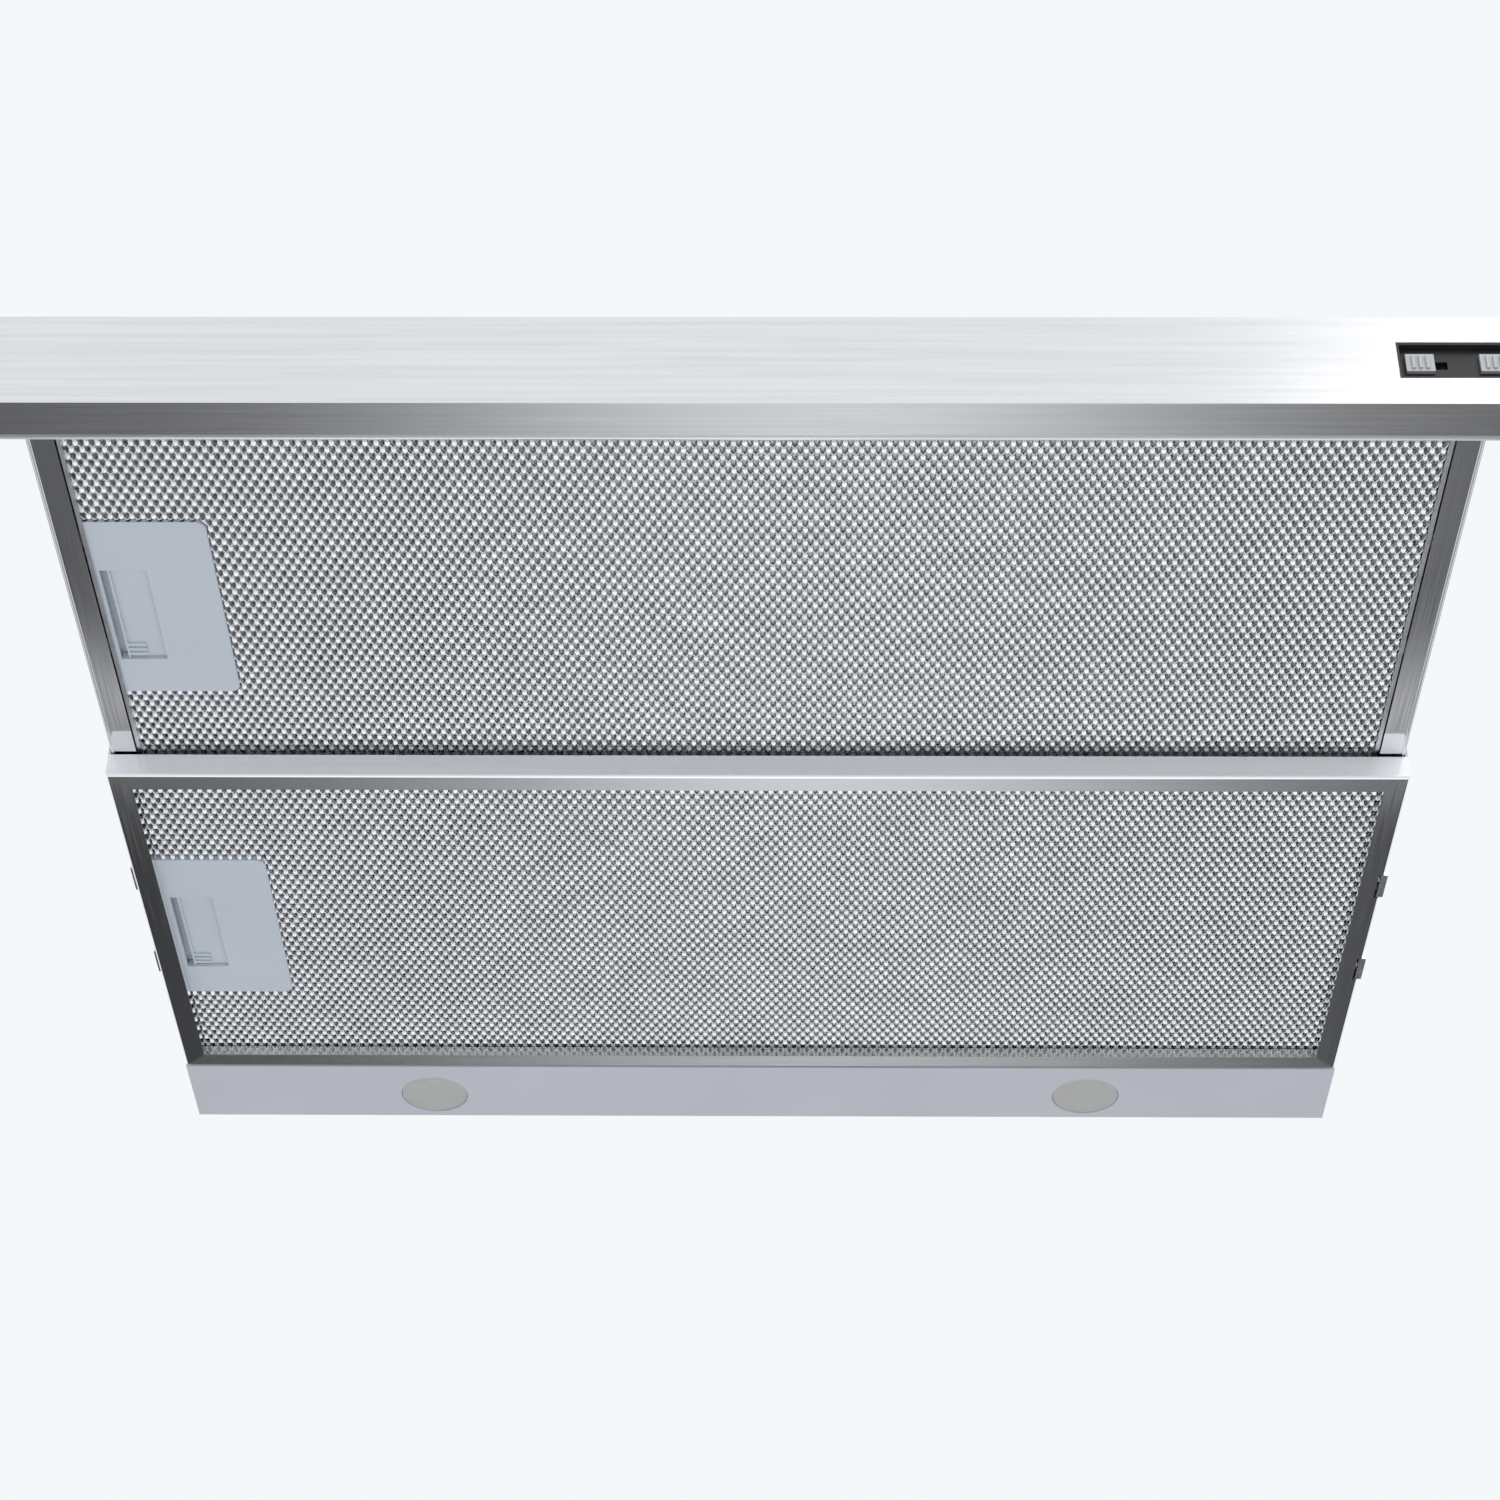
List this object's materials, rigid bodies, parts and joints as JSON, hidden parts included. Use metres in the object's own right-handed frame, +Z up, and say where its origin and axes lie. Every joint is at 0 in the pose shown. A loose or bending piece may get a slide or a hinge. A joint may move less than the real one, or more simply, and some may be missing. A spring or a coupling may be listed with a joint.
{
  "type": "telescopic range hood",
  "caption": "Telescopic range hood with a pull-out filter screen, mitred drop-down filter, fan, lamps and round top outlet.",
  "frame": {"origin": "centre of the underside of the whole hood with its screen pulled out", "axes": "+X to the cook's right, -Y towards the cook, +Z up"},
  "size_m": [0.598, 0.49, 0.238],
  "materials": {
    "painted_steel": "light grey powder coat, satin",
    "zinc_steel": "galvanised sheet steel",
    "ball_steel": "polished bearing steel",
    "brushed_steel": "stainless steel brushed along the bar",
    "bar_grey": "light grey anodised profile",
    "cap_grey": "moulded grey plastic",
    "aluminium_profile": "satin aluminium, drawn along its length",
    "filter_mesh": "bare expanded aluminium in layers",
    "latch_plastic": "pale blue-grey moulded plastic",
    "black_plastic": "black moulded plastic",
    "motor_steel": "grey motor can",
    "bright_steel": "bright zinc plate",
    "white_plastic": "off-white moulded plastic",
    "knob_grey": "grey moulded plastic",
    "lamp_cup": "die-cast lamp body",
    "lamp_lens": "frosted lens"
  },
  "bodies": {
    "hood_body": {"casing_left": "painted_steel", "casing_right": "painted_steel", "casing_back": "painted_steel", "casing_front": "painted_steel", "casing_top": "painted_steel", "fan_deck": "zinc_steel", "rear_light_panel": "painted_steel", "lamp_left": "lamp_cup", "lamp_right": "lamp_cup", "lens_left": "lamp_lens", "lens_right": "lamp_lens", "side_bracket_left": "zinc_steel", "side_bracket_right": "zinc_steel", "runner_outer_left": "zinc_steel", "runner_outer_right": "zinc_steel", "scroll_lower": "black_plastic", "scroll_upper": "black_plastic", "outlet_duct": "black_plastic", "outlet_collar": "black_plastic", "motor_housing": "motor_steel", "motor_bracket": "zinc_steel", "capacitor": "white_plastic", "control_box": "white_plastic", "cable_gland": "black_plastic", "reed_switch": "white_plastic", "casing_screws": "bright_steel", "filter_clips": "bright_steel"},
    "screen": {"bar_cover": "brushed_steel", "bar_core": "bar_grey", "bar_cap_left": "cap_grey", "bar_cap_right": "cap_grey", "screen_rail_left": "aluminium_profile", "screen_rail_right": "aluminium_profile", "screen_rear_rail": "aluminium_profile", "screen_cover": "painted_steel", "runner_inner_left": "zinc_steel", "runner_inner_right": "zinc_steel", "switch_panel": "black_plastic", "screen_magnet": "bright_steel", "front_filter_frame": "aluminium_profile", "front_filter_mesh": "filter_mesh", "front_latch_plate": "latch_plastic", "front_latch_spring": "bright_steel"},
    "front_latch": {"front_latch_slide": "latch_plastic"},
    "cage_left": {"runner_cage_left": "ball_steel"},
    "cage_right": {"runner_cage_right": "ball_steel"},
    "rear_filter": {"rear_frame_front": "aluminium_profile", "rear_frame_back": "aluminium_profile", "rear_frame_left": "aluminium_profile", "rear_frame_right": "aluminium_profile", "rear_filter_mesh": "filter_mesh", "rear_latch_plate": "latch_plastic", "rear_latch_spring": "bright_steel"},
    "rear_latch": {"rear_latch_slide": "latch_plastic"},
    "fan": {"fan_wheel": "black_plastic", "motor_shaft": "bright_steel"},
    "flap_front": {"flap_front": "black_plastic"},
    "flap_rear": {"flap_rear": "black_plastic"},
    "light_knob": {"light_switch": "knob_grey"},
    "speed_knob": {"speed_switch": "knob_grey"}
  },
  "joints": [
    {"name": "screen_slide", "type": "slide", "parent": "hood_body", "child": "screen", "axis": [0, 1, 0], "range_m": [0, 0.2]},
    {"name": "cage_left_slide", "type": "slide", "parent": "hood_body", "child": "cage_left", "axis": [0, 1, 0], "range_m": [0, 0.1]},
    {"name": "cage_right_slide", "type": "slide", "parent": "hood_body", "child": "cage_right", "axis": [0, 1, 0], "range_m": [0, 0.1]},
    {"name": "front_latch_pull", "type": "slide", "parent": "screen", "child": "front_latch", "axis": [1, 0, 0], "range_m": [0, 0.005], "stiffness_N_per_m": 300, "springref_m": -0.005, "deforming": ["front_latch_spring"]},
    {"name": "rear_filter_drop", "type": "hinge", "parent": "hood_body", "child": "rear_filter", "pos_m": [0.2605, 0.085, 0.0012], "axis": [0, -1, 0], "range_deg": [0, 30]},
    {"name": "rear_latch_pull", "type": "slide", "parent": "rear_filter", "child": "rear_latch", "axis": [1, 0, 0], "range_m": [0, 0.005], "stiffness_N_per_m": 300, "springref_m": -0.005, "deforming": ["rear_latch_spring"]},
    {"name": "fan_spin", "type": "hinge", "parent": "hood_body", "child": "fan", "pos_m": [-0.14243, 0.1094, 0.08], "axis": [0, 0, 1], "continuous": true},
    {"name": "flap_front_swing", "type": "hinge", "parent": "hood_body", "child": "flap_front", "pos_m": [0.00537, 0.1697, 0.217], "axis": [-1, 0, 0], "range_deg": [0, 80]},
    {"name": "flap_rear_swing", "type": "hinge", "parent": "hood_body", "child": "flap_rear", "pos_m": [0.00537, 0.1767, 0.217], "axis": [1, 0, 0], "range_deg": [0, 80]},
    {"name": "light_switch_slide", "type": "slide", "parent": "screen", "child": "light_knob", "axis": [1, 0, 0], "range_m": [0, 0.008]},
    {"name": "speed_switch_slide", "type": "slide", "parent": "screen", "child": "speed_knob", "axis": [1, 0, 0], "range_m": [0, 0.018]}
  ],
  "couplings": [
    {"joint": "cage_left_slide", "follows": "screen_slide", "ratio": 0.5},
    {"joint": "cage_right_slide", "follows": "screen_slide", "ratio": 0.5}
  ]
}
